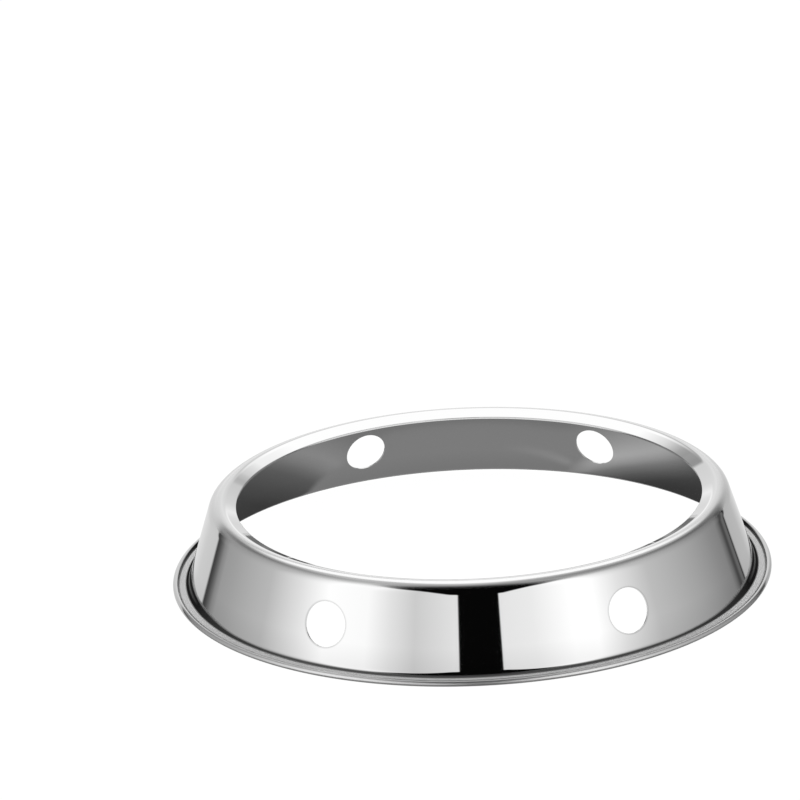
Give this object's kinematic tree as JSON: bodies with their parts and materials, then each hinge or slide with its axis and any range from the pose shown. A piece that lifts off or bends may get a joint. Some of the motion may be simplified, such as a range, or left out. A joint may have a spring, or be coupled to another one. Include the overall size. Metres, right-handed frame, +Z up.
{
  "type": "wok ring",
  "caption": "Pressed stainless steel ring with vented sloping wall that holds a round-bottomed wok steady over a burner.",
  "frame": {"origin": "middle of the base, on the plane that the curled rim stands on", "axes": "+Z up along the ring's axis, towards the opening that holds the wok; -Y is the front, within a degree of midway between the two vents of the front pair"},
  "size_m": [0.248, 0.248, 0.0356],
  "materials": {
    "polished_steel": "mirror-polished stainless steel sheet outside, satin inside the wall"
  },
  "bodies": {
    "root": {"wok_ring": "polished_steel"}
  },
  "joints": []
}
